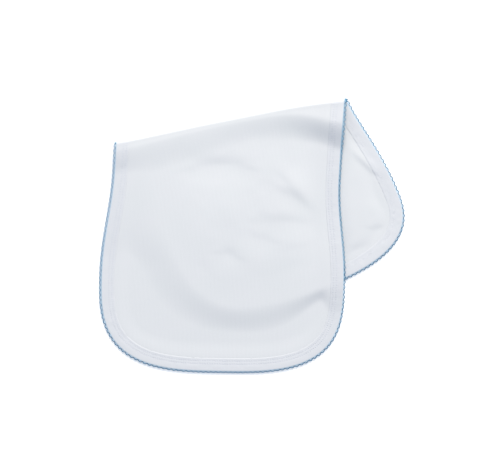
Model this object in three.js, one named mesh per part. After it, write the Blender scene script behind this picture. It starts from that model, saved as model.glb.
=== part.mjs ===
// A baby's burp cloth, folded once across its middle and laid on a flat surface.
// The front half lies uppermost. The shorter back half lies under it and comes out at the right.
// Three sewn pieces: a white panel, the self-fabric binding wrapped over its edge,
// and the blue picot trim that runs round the outside of the binding.
//
// Millimetres, +Z up. Seen from above, +X is to the right and -Y is the near side.
import * as THREE from 'three';

// The finished cloth laid flat. u runs along it, from the waist to the front end, and v across it.
const WAIST_HALF_WIDTH = 122;
const FLARE_START = 43;
const ENDS = {
  front: { side: 1, reach: 257, halfWidth: 131, rounding: 102, squareness: 3.05 },
  back: { side: -1, reach: 230, halfWidth: 132, rounding: 69, squareness: 2.9 },
};

// How it lies. The fold rises to the right, and the centre line leans left on its way to the front.
const FOLD_MIDDLE = new THREE.Vector2(-23.2, 128.5);
const FOLD_TILT = THREE.MathUtils.degToRad(11);
const FOLD_BEHIND_WAIST = 20;
const CENTRE_LEAN = THREE.MathUtils.degToRad(3.46);
const STRAIGHT_RUN = 39;
const TURN_PER_MM = { front: 0.00024, back: 0.0004 };

// Cloth thicknesses
const PANEL_THICKNESS = 1.0;
const BINDING_PLY = 1.0;
const PIECE_GAP = 0.3;
const LAYER_GAP = 0.4;

// The binding's folded strip
const BINDING_WIDTH = 14.5;
const BINDING_THICKNESS = PANEL_THICKNESS + 2 * (BINDING_PLY + PIECE_GAP);
const BINDING_BEVEL = 0.8;
const PANEL_INSET = BINDING_PLY + 2 * PIECE_GAP;

// The picot trim's scallops
const SCALLOP_PITCH = 5.4;
const SCALLOP_PEAK = 3.6;
const SCALLOP_VALLEY = 2.3;
const TRIM_START = 0.4;
const TRIM_THICKNESS = 1.2;
const TRIM_TIP_THICKNESS = 0.7;

// The soft roll of the fold, a little higher at its right
const ROLL_RADIUS = { left: 3.0, right: 3.7 };
const ROLL_GROWS = { from: -70, to: 80 };
const CREST_RUN = 5;
const SETTLE_RUN = 20;

// The fold line bows: its ends, at the cloth's edges, lie this much nearer than its middle.
const FOLD_BOW = 2.6;
const BOW_FADES_BY = 70;

// The upper layer rides over the edge of the lower one. Distances are inwards from that edge.
const STEP_OVER_EDGE = { floor: -26, top: -9, back: 24, rest: 42 };

// The upper layer lies a little loose over the lower one, away from its own bound edge.
const LOOSE_HEIGHT = 1.1;
const LOOSE_FADE = { from: 28, to: 62 };

// Soft waves in the cloth, seen from above: ridges raise it and troughs lower it.
const WAVES = [
  { layer: 'upper', from: [36, 50], to: [60, 38], width: 11, height: -0.9 },
  { layer: 'upper', from: [60, 38], to: [82, 19], width: 11, height: -0.9 },
  { layer: 'upper', from: [-45, 25], to: [50, 24], width: 9, height: -0.6 },
  { layer: 'upper', from: [-56, 84], to: [-7, 80], width: 11, height: -0.8 },
  { layer: 'upper', from: [-36, -22], to: [-2, -30], width: 10, height: -0.7 },
  { layer: 'upper', from: [-10, 62], to: [60, 66], width: 14, height: 0.7 },
  { layer: 'lower', from: [106, 94], to: [128, 74], width: 9, height: 1.5 },
];

// How finely the cloth is divided
const COLUMNS = 20;
const ROW_STEP = 10;
const ROLL_STEPS = 4;
const FIRST_ROW_STEP = 2.2;
const ROW_GROWTH = 1.28;
const PARALLEL_ROWS_UNTIL = 34;
const EDGE_TURNS_BY = 75;
const OUTLINE_STEPS = 240;
const HALVINGS = 40;
const CORNER_ANGLE = Math.PI / 4;

const PANEL_LIFT = (BINDING_THICKNESS - PANEL_THICKNESS) / 2;
const UNDER_BINDING = BINDING_WIDTH + 1;
const CLEAR_OF_BINDING = 26;

const FOLD_ALONG = new THREE.Vector2(Math.cos(FOLD_TILT), Math.sin(FOLD_TILT));
const FOLD_DOWN = new THREE.Vector2(Math.sin(FOLD_TILT), -Math.cos(FOLD_TILT));

const { lerp, smoothstep } = THREE.MathUtils;

// The flat cut

function sideWidth(end, along) {
  const { reach, halfWidth, rounding } = ENDS[end];
  const flare = THREE.MathUtils.clamp((along - FLARE_START) / (reach - rounding - FLARE_START), 0, 1);
  return lerp(WAIST_HALF_WIDTH, halfWidth, (1 - Math.cos(Math.PI * flare)) / 2);
}

function roundedEnd(end, angle) {
  const { side, reach, halfWidth, rounding, squareness } = ENDS[end];
  const along = reach - rounding + rounding * Math.sin(angle) ** (2 / squareness);
  const across = halfWidth * Math.cos(angle) ** (2 / squareness);
  return new THREE.Vector2(side * along, across);
}

// The cloth spread out before it is folded: x is along the fold line, y runs across it to the front.
function spreadOut(cut) {
  const fromFold = cut.x + FOLD_BEHIND_WAIST;
  const turn = fromFold > 0 ? TURN_PER_MM.front : TURN_PER_MM.back;
  const bent = Math.max(Math.abs(fromFold) - STRAIGHT_RUN, 0);
  const straight = Math.min(Math.abs(fromFold), STRAIGHT_RUN);
  const heading = CENTRE_LEAN - turn * bent;
  const centre = new THREE.Vector2(
    -Math.sin(CENTRE_LEAN) * straight - (Math.cos(heading) - Math.cos(CENTRE_LEAN)) / turn,
    -Math.cos(CENTRE_LEAN) * straight - (Math.sin(CENTRE_LEAN) - Math.sin(heading)) / turn,
  );
  centre.multiplyScalar(Math.sign(fromFold));
  centre.x += cut.y * Math.cos(heading);
  centre.y -= cut.y * Math.sin(heading);
  return new THREE.Vector2(centre.dot(FOLD_ALONG), centre.dot(FOLD_DOWN));
}

// One stretch of the cloth's edge, walked by its length
class EdgeStretch extends THREE.Curve {
  constructor(cutAt) {
    super();
    this.cutAt = cutAt;
    this.arcLengthDivisions = OUTLINE_STEPS;
  }

  getPoint(t, target = new THREE.Vector2()) {
    return target.copy(spreadOut(this.cutAt(t)));
  }
}

// A long side, from the back corner to the front one. hand is 1 at the right and -1 at the left.
function longSide(hand) {
  const backStraight = ENDS.back.rounding - ENDS.back.reach;
  const frontStraight = ENDS.front.reach - ENDS.front.rounding;
  return new EdgeStretch((t) => {
    const stage = t * 3;
    let cut;
    if (stage < 1) {
      cut = roundedEnd('back', CORNER_ANGLE * (1 - stage));
    } else if (stage > 2) {
      cut = roundedEnd('front', CORNER_ANGLE * (stage - 2));
    } else {
      const along = lerp(backStraight, frontStraight, stage - 1);
      cut = new THREE.Vector2(along, sideWidth(along < 0 ? 'back' : 'front', Math.abs(along)));
    }
    cut.y *= hand;
    return cut;
  });
}

// A rounded end, from its left corner to its right one
function shortSide(end) {
  return new EdgeStretch((t) => {
    const angle = CORNER_ANGLE * (1 + 2 * Math.min(t, 1 - t));
    const cut = roundedEnd(end, Math.min(angle, Math.PI / 2));
    cut.y *= t < 0.5 ? -1 : 1;
    return cut;
  });
}

const edges = { left: longSide(-1), right: longSide(1), front: shortSide('front'), back: shortSide('back') };

const outline = [
  ...edges.left.getSpacedPoints(OUTLINE_STEPS),
  ...edges.front.getSpacedPoints(OUTLINE_STEPS),
  ...edges.right.getSpacedPoints(OUTLINE_STEPS).reverse(),
  ...edges.back.getSpacedPoints(OUTLINE_STEPS).reverse(),
];

// Distance in from the cloth's edge, negative outside it
function distanceInside(point) {
  let nearest = Infinity;
  let inside = false;
  outline.forEach((start, i) => {
    const end = outline[(i + 1) % outline.length];
    const run = end.clone().sub(start);
    const reach = point.clone().sub(start);
    const share = THREE.MathUtils.clamp(reach.dot(run) / (run.lengthSq() || 1), 0, 1);
    nearest = Math.min(nearest, reach.addScaledVector(run, -share).length());
    const crosses = (start.y > point.y) !== (end.y > point.y);
    if (crosses && point.x < start.x + ((point.y - start.y) / (end.y - start.y)) * run.x) {
      inside = !inside;
    }
  });
  return inside ? nearest : -nearest;
}

// Where the cloth lies

function waveHeight(layer, place) {
  let height = 0;
  for (const wave of WAVES.filter((each) => each.layer === layer)) {
    const start = new THREE.Vector2(...wave.from);
    const run = new THREE.Vector2(...wave.to).sub(start);
    const reach = place.clone().sub(start);
    const share = THREE.MathUtils.clamp(reach.dot(run) / run.lengthSq(), 0, 1);
    const distance = reach.addScaledVector(run, -share).length();
    height += wave.height * Math.exp(-((distance / wave.width) ** 2));
  }
  return height;
}

// What the upper layer lies on: the floor, or the lower layer with its thicker bound edge
function supportHeight(insideLower) {
  const { floor, top, back, rest } = STEP_OVER_EDGE;
  const overBinding = BINDING_THICKNESS + LAYER_GAP;
  const overPanel = PANEL_THICKNESS + LAYER_GAP;
  const climbed = overBinding * smoothstep(insideLower, floor, top);
  return climbed - (overBinding - overPanel) * smoothstep(insideLower, back, rest);
}

// The middle of the cloth's thickness at a point of the spread-out cloth
function layDown(flat) {
  const grown = smoothstep(flat.x, ROLL_GROWS.from, ROLL_GROWS.to);
  const radius = lerp(ROLL_RADIUS.left, ROLL_RADIUS.right, grown);
  const quarterRoll = (radius * Math.PI) / 2;
  const beyondRoll = Math.abs(flat.y) - quarterRoll;
  const onFloor = PANEL_THICKNESS / 2;
  let fromFold = radius + beyondRoll;
  let height = onFloor;
  if (beyondRoll < 0) {
    const angle = (flat.y + quarterRoll) / radius;
    fromFold = radius * (1 - Math.sin(angle));
    height = onFloor + radius * (1 - Math.cos(angle));
  }
  const bow = FOLD_BOW * (flat.x / WAIST_HALF_WIDTH) ** 2;
  fromFold += bow * (1 - smoothstep(Math.abs(flat.y), 0, BOW_FADES_BY));
  const place = FOLD_MIDDLE.clone()
    .addScaledVector(FOLD_ALONG, flat.x)
    .addScaledVector(FOLD_DOWN, fromFold);
  if (beyondRoll >= 0 && flat.y < 0) {
    const ownEdge = smoothstep(distanceInside(flat), CLEAR_OF_BINDING, LOOSE_FADE.to);
    height += waveHeight('lower', place) * smoothstep(beyondRoll, 0, SETTLE_RUN) * ownEdge;
  }
  if (beyondRoll >= 0 && flat.y > 0) {
    const insideLower = distanceInside(new THREE.Vector2(flat.x, -flat.y));
    const support = supportHeight(insideLower);
    const overLower = smoothstep(insideLower, STEP_OVER_EDGE.back, STEP_OVER_EDGE.rest);
    const ownEdge = smoothstep(distanceInside(flat), LOOSE_FADE.from, LOOSE_FADE.to);
    const loose = Math.max(LOOSE_HEIGHT + waveHeight('upper', place), 0) * overLower * ownEdge;
    const settled = smoothstep(beyondRoll, CREST_RUN, CREST_RUN + SETTLE_RUN);
    height = lerp(onFloor + 2 * radius, onFloor + support + loose, settled);
  }
  return new THREE.Vector3(place.x, place.y, height);
}

// Rows and columns of the spread-out cloth

// Distances from the fold line of the rows that lie parallel to it
function parallelRows() {
  const quarterRoll = (ROLL_RADIUS.right * Math.PI) / 2;
  const rows = [0];
  for (let i = 1; i <= ROLL_STEPS; i += 1) {
    rows.push((quarterRoll * i) / ROLL_STEPS);
  }
  let step = FIRST_ROW_STEP;
  while (rows.at(-1) + step < PARALLEL_ROWS_UNTIL) {
    rows.push(rows.at(-1) + step);
    step *= ROW_GROWTH;
  }
  return [...rows.slice(1).reverse().map((row) => -row), ...rows];
}

// The share of a long side's length at which it lies a given distance from the fold line
function shareAtRow(side, row) {
  let low = 0;
  let high = 1;
  for (let i = 0; i < HALVINGS; i += 1) {
    const middle = (low + high) / 2;
    if (side.getPointAt(middle).y < row) {
      low = middle;
    } else {
      high = middle;
    }
  }
  return (low + high) / 2;
}

const foldRows = parallelRows();

function sideShares(side) {
  const shares = foldRows.map((row) => shareAtRow(side, row));
  const length = edges.right.getLength();
  const behind = Math.round((shareAtRow(edges.right, foldRows[0]) * length) / ROW_STEP);
  const ahead = Math.round(((1 - shareAtRow(edges.right, foldRows.at(-1))) * length) / ROW_STEP);
  const first = Array.from({ length: behind }, (_, i) => (shares[0] * i) / behind);
  const last = Array.from({ length: ahead }, (_, i) => lerp(shares.at(-1), 1, (i + 1) / ahead));
  return { shares: [...first, ...shares, ...last], behind, ahead };
}

// A place on the edge with its way in. Near the fold that way follows the fold line, and it is
// as long as takes a point one millimetre in from the edge.
function station(side, share, turn) {
  const point = side.getPointAt(share);
  const tangent = side.getTangentAt(share);
  const normal = new THREE.Vector2(tangent.y, -tangent.x).multiplyScalar(turn);
  const turned = smoothstep(Math.abs(point.y), PARALLEL_ROWS_UNTIL, EDGE_TURNS_BY);
  const inward = new THREE.Vector2(Math.sign(normal.x), 0).lerp(normal, turned);
  return { point, inward: inward.divideScalar(inward.dot(normal)) };
}

const { shares: leftShares, behind: rowsBehind, ahead: rowsAhead } = sideShares(edges.left);
const { shares: rightShares } = sideShares(edges.right);
const columnShares = Array.from({ length: COLUMNS + 1 }, (_, i) => i / COLUMNS);
const stations = {
  left: leftShares.map((share) => station(edges.left, share, 1)),
  right: rightShares.map((share) => station(edges.right, share, -1)),
  front: columnShares.map((share) => station(edges.front, share, 1)),
  back: columnShares.map((share) => station(edges.back, share, -1)),
};
const ROWS = stations.left.length - 1;

// The whole edge in order: down the left, along the front, up the right and back along the back end
const ring = [
  ...stations.left.slice(0, -1),
  ...stations.front.slice(0, -1),
  ...stations.right.slice(1).reverse(),
  ...stations.back.slice(1).reverse(),
];

function insetPoint({ point, inward }, inset) {
  return point.clone().addScaledVector(inward, inset);
}

// A point of the grid inside the binding. The rounded ends shape the rows outside the fold's own.
function gridPoint(column, row) {
  const share = column / COLUMNS;
  const between = (line) => insetPoint(line[0], CLEAR_OF_BINDING)
    .lerp(insetPoint(line.at(-1), CLEAR_OF_BINDING), share);
  const point = insetPoint(stations.left[row], CLEAR_OF_BINDING)
    .lerp(insetPoint(stations.right[row], CLEAR_OF_BINDING), share);
  const nearFront = Math.max(row - (ROWS - rowsAhead), 0) / rowsAhead;
  const nearBack = Math.max(rowsBehind - row, 0) / rowsBehind;
  for (const [line, near] of [[stations.front, nearFront], [stations.back, nearBack]]) {
    const bulge = insetPoint(line[column], CLEAR_OF_BINDING).sub(between(line));
    point.addScaledVector(bulge, near * near);
  }
  return point;
}

// The middle surface of the cloth: three rings from the edge inwards, and the grid inside them

const flatPoints = [];
const middlePoints = [];

function addMiddlePoint(flat, lift) {
  flatPoints.push(flat);
  const point = layDown(flat);
  point.z += lift;
  middlePoints.push(point);
  return middlePoints.length - 1;
}

const ringInsets = [
  { inset: 0, lift: PANEL_LIFT },
  { inset: UNDER_BINDING, lift: PANEL_LIFT },
  { inset: CLEAR_OF_BINDING, lift: 0 },
];
const rings = ringInsets.map(({ inset, lift }) => (
  ring.map((place) => addMiddlePoint(insetPoint(place, inset), lift))
));

const grid = Array.from({ length: ROWS + 1 }, (_, row) => (
  columnShares.map((_share, column) => {
    const innerRing = rings.at(-1);
    if (column === 0) return innerRing[row];
    if (row === ROWS) return innerRing[ROWS + column];
    if (column === COLUMNS) return innerRing[2 * ROWS + COLUMNS - row];
    if (row === 0) return innerRing[2 * ROWS + 2 * COLUMNS - column];
    return addMiddlePoint(gridPoint(column, row), 0);
  })
));

// Four corners as two triangles, split from a to c or from b to d
function splitQuad(a, b, c, d, alongAC) {
  return alongAC ? [a, b, c, a, c, d] : [a, b, d, b, c, d];
}

const middleTriangles = [];
for (let level = 1; level < rings.length; level += 1) {
  const [outer, inner] = [rings[level - 1], rings[level]];
  ring.forEach((_, i) => {
    const next = (i + 1) % ring.length;
    middleTriangles.push(...splitQuad(outer[i], outer[next], inner[next], inner[i], true));
  });
}
for (let row = 0; row < ROWS; row += 1) {
  for (let column = 0; column < COLUMNS; column += 1) {
    const [near, far] = [grid[row], grid[row + 1]];
    const corners = [near[column], far[column], far[column + 1], near[column + 1]];
    const [a, b, c, d] = corners.map((index) => flatPoints[index]);
    middleTriangles.push(...splitQuad(...corners, a.distanceTo(c) < b.distanceTo(d)));
  }
}

function geometryFrom(points, triangles) {
  const geometry = new THREE.BufferGeometry().setFromPoints(points);
  geometry.setIndex(triangles);
  geometry.computeVertexNormals();
  return geometry;
}

const middleNormals = geometryFrom(middlePoints, middleTriangles).getAttribute('normal');
const normalAt = (index) => new THREE.Vector3().fromBufferAttribute(middleNormals, index);

// A point of the bound edge: place counts round the ring, inset is inwards and offset is off the middle
function edgePoint(place, inset, offset) {
  const before = Math.floor(place) % ring.length;
  const after = (before + 1) % ring.length;
  const depth = inset / UNDER_BINDING;
  const across = (index) => middlePoints[rings[0][index]].clone()
    .lerp(middlePoints[rings[1][index]], depth)
    .addScaledVector(normalAt(rings[0][index]).lerp(normalAt(rings[1][index]), depth), offset);
  return across(before).lerp(across(after), place - Math.floor(place));
}

// The panel: the whole cloth, its raw edge inside the binding
function panelGeometry() {
  const half = PANEL_THICKNESS / 2;
  const faces = [half, -half].map((offset) => middlePoints.map((point, index) => (
    index < ring.length
      ? edgePoint(index, PANEL_INSET, offset)
      : point.clone().addScaledVector(normalAt(index), offset)
  )));
  const count = middlePoints.length;
  const triangles = [...middleTriangles];
  for (let i = 0; i < middleTriangles.length; i += 3) {
    const [a, b, c] = middleTriangles.slice(i, i + 3);
    triangles.push(a + count, c + count, b + count);
  }
  ring.forEach((_, i) => {
    const next = (i + 1) % ring.length;
    triangles.push(next, i, i + count, next, i + count, next + count);
  });
  return geometryFrom(faces.flat(), triangles);
}

// A closed ring swept round the cloth's edge. Each section is a list of corners with an inset and
// an offset, and every face is split the same way as the panel under it, so that they stay parallel.
function ringGeometry(places, sectionAt) {
  const sections = places.map((_, i) => sectionAt(i));
  const points = places.map((place, i) => (
    sections[i].map(({ inset, offset }) => edgePoint(place, inset, offset))
  ));
  const size = sections[0].length;
  const triangles = [];
  places.forEach((_, i) => {
    const here = i * size;
    const next = ((i + 1) % places.length) * size;
    for (let m = 0; m < size; m += 1) {
      const n = (m + 1) % size;
      const inwards = sections[i][m].inset <= sections[i][n].inset;
      triangles.push(...splitQuad(here + m, here + n, next + n, next + m, inwards));
    }
  });
  return geometryFrom(points.flat(), triangles);
}

// The binding: a strip folded over the panel's edge, one ply above it and one below
function bindingGeometry() {
  const outside = BINDING_THICKNESS / 2;
  const inside = outside - BINDING_PLY;
  const upperHalf = [
    { inset: BINDING_WIDTH, offset: inside },
    { inset: BINDING_WIDTH, offset: outside },
    { inset: BINDING_BEVEL, offset: outside },
    { inset: 0, offset: outside - BINDING_BEVEL },
  ];
  const lowerHalf = upperHalf.map(({ inset, offset }) => ({ inset, offset: -offset })).reverse();
  const fold = [-inside, inside].map((offset) => ({ inset: BINDING_PLY + PIECE_GAP, offset }));
  const section = [...upperHalf, ...lowerHalf, ...fold];
  return ringGeometry(ring.map((_, i) => i), () => section);
}

// The picot trim: a narrow blue edging whose scallops point outwards
function trimGeometry() {
  const lengths = [0];
  ring.forEach((_, i) => {
    const [here, next] = [ring[i].point, ring[(i + 1) % ring.length].point];
    lengths.push(lengths.at(-1) + here.distanceTo(next));
  });
  const scallops = Math.round(lengths.at(-1) / SCALLOP_PITCH);
  const places = Array.from({ length: 2 * scallops }, (_, i) => {
    const walked = (lengths.at(-1) * i) / (2 * scallops);
    const before = lengths.findLastIndex((length) => length <= walked);
    return before + (walked - lengths[before]) / (lengths[before + 1] - lengths[before]);
  });
  const [root, tip] = [TRIM_THICKNESS / 2, TRIM_TIP_THICKNESS / 2];
  return ringGeometry(places, (i) => {
    const outer = i % 2 === 0 ? -SCALLOP_VALLEY : -SCALLOP_PEAK;
    return [
      { inset: -TRIM_START, offset: root },
      { inset: outer, offset: tip },
      { inset: outer, offset: -tip },
      { inset: -TRIM_START, offset: -root },
    ];
  });
}

// White cotton for the panel and binding, blue cotton thread for the trim
const pieces = [
  { name: 'panel', geometry: panelGeometry(), color: 0xe6e9f0 },
  { name: 'binding', geometry: bindingGeometry(), color: 0xe2e6ee },
  { name: 'picot_trim', geometry: trimGeometry(), color: 0x7fa3c4 },
];

const cloth = new THREE.Group();
for (const { name, geometry, color } of pieces) {
  const mesh = new THREE.Mesh(geometry, new THREE.MeshStandardMaterial({ color, roughness: 0.9, metalness: 0 }));
  mesh.name = name;
  cloth.add(mesh);
}

// The middle of the cloth's box stands over the origin, and it lies on z = 0.
const box = new THREE.Box3().setFromObject(cloth, true);
const middle = box.getCenter(new THREE.Vector3());
cloth.position.set(-middle.x, -middle.y, -box.min.z);

const burpCloth = new THREE.Group();
burpCloth.add(cloth);

export default burpCloth;
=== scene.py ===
import math
from collections import namedtuple

import bpy
import numpy as np
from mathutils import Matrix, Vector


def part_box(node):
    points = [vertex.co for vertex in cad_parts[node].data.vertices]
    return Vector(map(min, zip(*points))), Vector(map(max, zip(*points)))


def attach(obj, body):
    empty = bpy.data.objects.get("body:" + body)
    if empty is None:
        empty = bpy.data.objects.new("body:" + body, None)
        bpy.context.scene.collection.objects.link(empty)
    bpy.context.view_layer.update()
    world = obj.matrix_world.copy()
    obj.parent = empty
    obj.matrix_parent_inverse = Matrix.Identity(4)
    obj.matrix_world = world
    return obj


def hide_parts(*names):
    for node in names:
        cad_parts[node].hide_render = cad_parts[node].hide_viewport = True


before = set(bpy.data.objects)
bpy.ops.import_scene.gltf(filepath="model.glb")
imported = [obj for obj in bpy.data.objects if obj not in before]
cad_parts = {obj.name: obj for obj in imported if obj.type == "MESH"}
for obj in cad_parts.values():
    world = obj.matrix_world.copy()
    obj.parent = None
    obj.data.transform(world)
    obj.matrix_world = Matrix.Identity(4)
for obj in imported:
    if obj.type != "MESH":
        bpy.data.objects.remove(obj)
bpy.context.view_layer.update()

MM = 0.001

# The finished cloth laid flat, measured to the binding's edge from the waist to each end. Its corners
# are parts of superellipses, and the back end's hidden left corner is the roundest.
WAIST_HALF_WIDTH = 122.6
FLARE_START = 43.0
End = namedtuple("End", "side reach half_width rounding left_rounding squareness slant")
FRONT = End(
    side=1,
    reach=256.5,
    half_width=132.2,
    rounding=102.0,
    left_rounding=102.0,
    squareness=3.12,
    slant=1.8,
)
BACK = End(
    side=-1,
    reach=230.0,
    half_width=132.0,
    rounding=69.0,
    left_rounding=114.0,
    squareness=2.9,
    slant=0.0,
)
CORNER_ANGLE = math.pi / 4

# How it lies. The fold rises to the right, and the centre line leans left towards the front end.
FOLD_MIDDLE = np.array([-23.2, 128.5])
FOLD_TILT = math.radians(11.0)
FOLD_BEHIND_WAIST = 20.0
CENTRE_LEAN = math.radians(3.46)
STRAIGHT_RUN = 39.0
FRONT_TURN_PER_MM = 0.00024
BACK_TURN_PER_MM = 0.0004
BEND_FADES_BY = 70.0

# The fold's edge isn't quite straight: so much nearer the front end at places along it
Bend = namedtuple("Bend", "along nearer")
FOLD_BENDS = (
    Bend(-120, 0.9),
    Bend(-80, 0.2),
    Bend(-40, -0.6),
    Bend(0, -0.9),
    Bend(50, -1.5),
    Bend(80, -1.3),
    Bend(100, -0.2),
    Bend(112, 0.6),
    Bend(124, 2.8),
)

# Thicknesses
PANEL_THICKNESS = 1.0
BINDING_HALF = 1.3
BINDING_LIFT = BINDING_HALF - PANEL_THICKNESS / 2
LIFT_FADES = (14.5, 32.0)
LAYER_GAP = 0.4

# The binding is a folded strip, thinner towards its sewn-down edge, with a hollow for the panel. On
# the wrong side it ends nearly flush, so far below the hollow at its edge and just beside that.
BINDING_WIDTH = 14.5
BINDING_ROUND = 1.4
BINDING_BODY = 1.25
BINDING_THINS_FROM = 3.0
BINDING_THINS_TO = 0.74
LIP_INSETS = (14.2, 13.4, 12.5)
LIP_STEP = 0.15
BELOW_HOLLOW = (0.02, 0.07)
BODY_INSETS = (5.2, 4.0, 3.0, 2.2)
NOSE_ANGLES = (90, 68, 45, 22, 0, -22, -45, -68, -90)
CAVITY_HALF = 0.53
CAVITY_DEPTH = 1.3
CAVITY_MIDDLE = 8.0
PUCKER = 0.08
PUCKER_SIZE = 5.0
PUCKER_SEED = 5
PUCKER_FADES_IN = (0.5, 5.0)
PUCKER_SIDES_APART = 40.0

# Its two rows of needle stitches on the right side and the looper's zigzag on the wrong side. A stitch
# or a leg of the zigzag has points at shares of its run, each with its height over the surface.
NEEDLE_ROWS = (8.3, 11.6)
STITCH_PITCH = 2.7
STATIONS_PER_STITCH = 3
ROW_STEPS = (0.55, 0.28, 0.0, -0.28, -0.55, -1.2, -1.9)
ROW_GROOVE = 0.02
ROW_WIDTH = 1.2
HOLE_DEPTH = 0.25
HOLE_WIDTH = 0.45
NEEDLE_SHARES = np.array([0.08, 0.2, 0.38, 0.62, 0.8, 0.92])
NEEDLE_HEIGHTS = np.array([-0.25, 0.0, 0.12, 0.12, 0.0, -0.25])
THREAD_RADIUS = 0.13
THREAD_SIDES = 5
LOOPER_SHARES = np.array([0.0, 0.12, 0.35, 0.65, 0.88, 1.0])
LOOPER_HEIGHTS = np.array([-0.12, -0.03, 0.0, 0.0, -0.03, -0.12])
LOOPER_RADIUS = 0.08
LOOPER_SIDES = 4

# The picot trim. Its scallops stand out along the left side and near the fold at the right, and are
# pressed flatter elsewhere.
SCALLOP_PITCH = 5.4
SCALLOP_ROUNDNESS = 1.4
SCALLOP_PEAK = 2.1
PRESSED_SCALLOP_PEAK = 1.4
SCALLOP_VALLEY = 0.2
FRONT_PRESSED = (165.0, 215.0)
RIGHT_LOOSE_AT = 22.0
RIGHT_PRESSED = (18.0, 48.0)
PURL_POINTS_PER_SCALLOP = 12
PURL_PLY_RADIUS = 0.3
PURL_PLY_OFFSET = 0.22
PURL_SIDES = 6
PURL_TWIST = 2.0
PURL_STRADDLES = 0.7

# Its pale wraps run out over the binding and back beneath it. They stop beside the purl, but along the
# front half's right side the trim is turned so far that they lie over it.
WRAPS_PER_SCALLOP = 5
WRAP_SEED = 11
WRAP_RADIUS = 0.2
WRAP_SIDES = 5
WRAP_START = 1.0
WRAP_START_VARIES = (-0.25, 0.35)
WRAP_LEAN = 0.25
WRAPPED_OVER = (-8.0, 10.0)
WRAP_TIP_BESIDE = 0.3
WRAP_TIP_OVER = -0.4
WRAP_SHARES = np.array([0.0, 0.25, 0.55, 0.85, 1.0, 0.85, 0.55, 0.25, 0.0])
WRAP_HEIGHTS_BESIDE = np.array([1.1, 1.05, 0.75, 0.25, 0.0, -0.25, -0.75, -1.05, -1.1])
WRAP_HEIGHTS_OVER = np.array([1.1, 1.08, 0.95, 0.7, 0.0, -0.7, -0.95, -1.08, -1.1])

# The soft roll of the fold. It is pressed flatter at the left and puffed up at the right, and the
# upper layer comes down from it between two distances from the fold's edge.
ROLL_LEFT = 3.0
ROLL_RIGHT = 3.7
ROLL_GROWS = (-70.0, 80.0)
CORNER_SOFTENED = 10.0
CREST_RISE = 0.1
CREST_RISE_PER_MM = 0.045
Fold = namedtuple("Fold", "along puffed start end")
FOLDS = (
    Fold(-120, 0.86, 7, 36),
    Fold(-89, 0.84, 6, 42),
    Fold(-61, 0.76, 4, 37),
    Fold(-33, 0.65, 3, 38),
    Fold(-5, 0.62, 2, 29),
    Fold(22, 0.66, 2, 28),
    Fold(50, 0.71, 3, 33),
    Fold(78, 0.98, 8, 41),
    Fold(100, 1.13, 18, 50),
    Fold(118, 1.28, 27, 64),
)

# The upper layer drops off the hidden edge of the lower one. The drop starts so far in from that edge
# and is so wide. It is gentler near the fold, and where the upper layer's stiff bound edge bridges it.
EdgeDrop = namedtuple("EdgeDrop", "along top width")
EDGE_DROPS = (
    EdgeDrop(-106, 16, 42),
    EdgeDrop(-84, 15, 38),
    EdgeDrop(-61, 11, 33),
    EdgeDrop(-41, 7, 28),
    EdgeDrop(-20, 6, 30),
    EdgeDrop(3, 5, 30),
    EdgeDrop(30, 2, 23),
    EdgeDrop(54, 1, 13),
    EdgeDrop(75, 1, 12),
)
BINDING_BRIDGES = 24.0
BRIDGED = (8.0, 26.0)
NEAR_FOLD_GENTLER = 30.0
NEAR_FOLD = (75.0, 145.0)
BEHIND_EDGE = (14.5, 75.0)

# The upper layer lies close near the fold and rises to a loose plateau. The lower one is a little loose
# where it shows and pressed flat where it is covered. Bound edges hold both layers down.
LOFT_NEAR_FOLD = 1.1
LOFT_FULL = 2.5
LOFT_RISES = (22.0, 112.0)
LOWER_LOFT = 1.3
LOWER_LOFT_RISES = (0.0, 19.0)
LOWER_PRESSED = (-14.0, 2.0)
UPPER_HELD = (16.0, 60.0)
LOWER_HELD = (15.5, 32.0)

# Creases as seen from above, each from its start by way of its middle to its end.
# A height below nought is a trough and one above it a ridge. The side that faces away from the
# window is steep, and the other one is gentler by CREASE_SPREAD.
CREASE_SPREAD = 2.6
Crease = namedtuple("Crease", "layer start via end width height")
CREASES = (
    Crease("upper", (42, 60), (58, 47), (78, 26), 6.5, 1.3),
    Crease("upper", (38, 48), (55, 35), (76, 17), 6.5, -1.1),
    Crease("upper", (8, 18), (46, 15), (74, 12), 7.0, -0.9),
    Crease("upper", (-64, 75), (-34, 78), (-8, 76), 8.0, -1.2),
    Crease("upper", (-31, -18), (-25, -19), (-19, -21), 6.0, -0.7),
    Crease("upper", (-60, -31), (-56, -33), (-50, -37), 6.5, -0.6),
    Crease("upper", (8, 0), (13, -3), (20, -4), 6.0, -0.5),
    Crease("upper", (38, -14), (55, -12), (73, -7), 5.0, -0.5),
    Crease("upper", (40, -36), (56, -33), (78, -24), 9.0, -1.1),
    Crease("lower", (107, 97), (123, 82), (135, 70), 2.8, 1.1),
    Crease("lower", (135, 62), (138, 45), (146, 33), 4.5, -0.5),
    Crease("lower", (133, 9), (139, 8), (147, 4), 4.0, -0.6),
    Crease("lower", (105, -25), (109, -19), (115, -11), 4.0, -0.7),
)
CREASE_STEPS = 24
CREASE_ENDS_FADE = 0.6

# Soft unevenness all over, as heights and sizes of its lumps
RUMPLE = ((0.16, 26.0), (0.07, 11.0))
RUMPLE_CELLS = 64

# How finely the cloth is divided
GRID_COLUMNS = 96
GRID_ROW_STEP = 2.6
ROLL_STEPS = 9
FIRST_ROW_STEP = 0.8
ROW_GROWTH = 1.12
PARALLEL_ROWS_UNTIL = 34.0
EDGE_TURNS_BY = 75.0
PANEL_INSETS = (1.5, 6.0, 10.0, 13.0, 14.6, 15.6, 17.0, 19.0, 21.0, 23.5, 26.0, 29.0, 32.0)

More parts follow.
